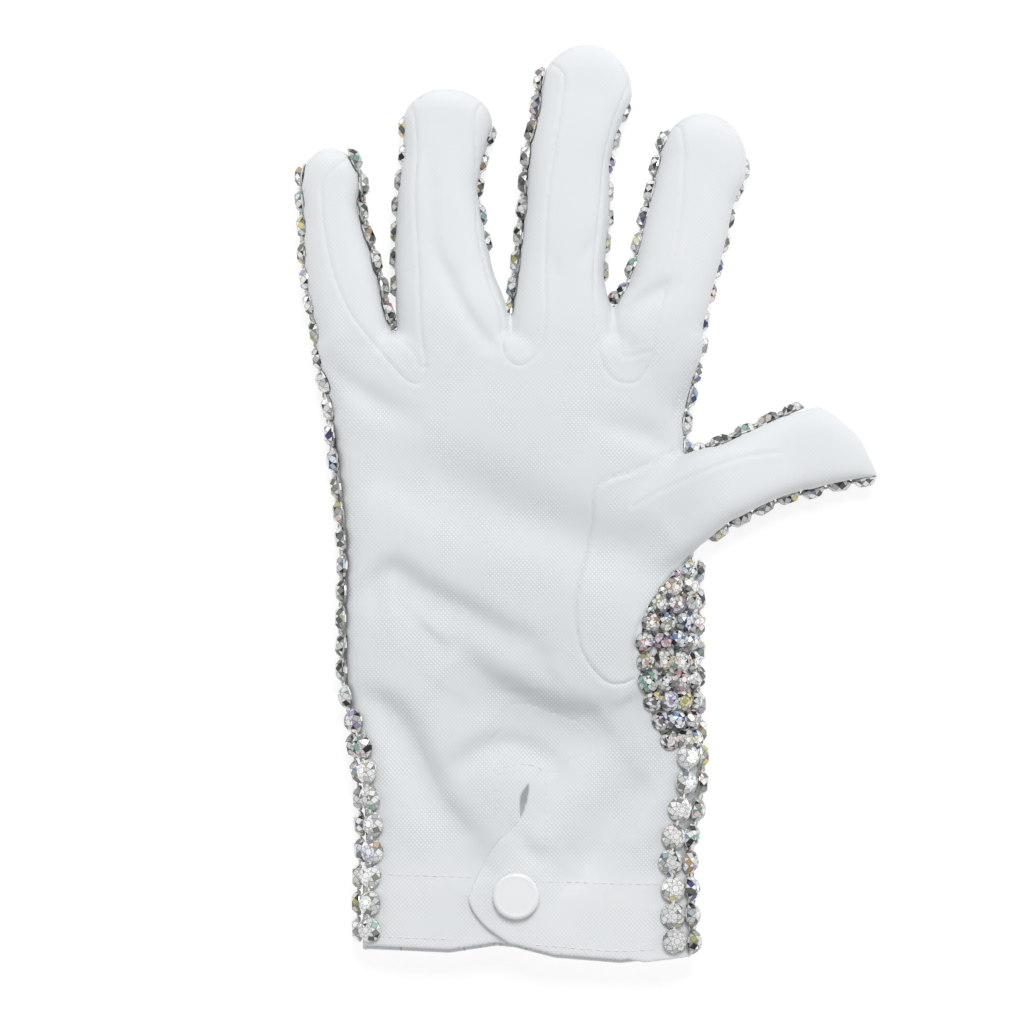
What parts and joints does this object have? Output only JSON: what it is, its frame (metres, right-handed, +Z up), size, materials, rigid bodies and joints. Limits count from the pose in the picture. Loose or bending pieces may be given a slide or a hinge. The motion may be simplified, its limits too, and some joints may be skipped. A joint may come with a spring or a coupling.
{
  "type": "rhinestone dress glove",
  "caption": "Right-hand cotton dress glove, palm up, with faceted crystal stones over the back and round its edges, a slit with a lapped flap and a snap at the wrist.",
  "frame": {"origin": "middle of the glove's plan, on the surface that the stones of the back lie on", "axes": "+Y from the cuff to the fingertips, +X towards the thumb, +Z up out of the palm"},
  "size_m": [0.1554, 0.2404, 0.0193],
  "materials": {
    "cloth": "fine cotton knit, matt",
    "snap": "smooth white",
    "stone": "clear cut crystal with a foil back and an iridescent coat"
  },
  "bodies": {
    "root": {"palm_panel": "cloth", "back_panel": "cloth", "fourchette_little_ring": "cloth", "fourchette_ring_middle": "cloth", "fourchette_middle_index": "cloth", "thumb": "cloth", "snap_cap": "snap", "snap_post": "snap", "back_stones": "stone", "stones_left_edge": "stone", "stones_index_right": "stone", "stones_right_edge": "stone", "stones_little_right": "stone", "stones_ring_left": "stone", "stones_ring_right": "stone", "stones_middle_left": "stone", "stones_middle_right": "stone", "stones_index_left": "stone", "stones_thumb_upper": "stone", "stones_thumb_lower": "stone"}
  },
  "joints": []
}
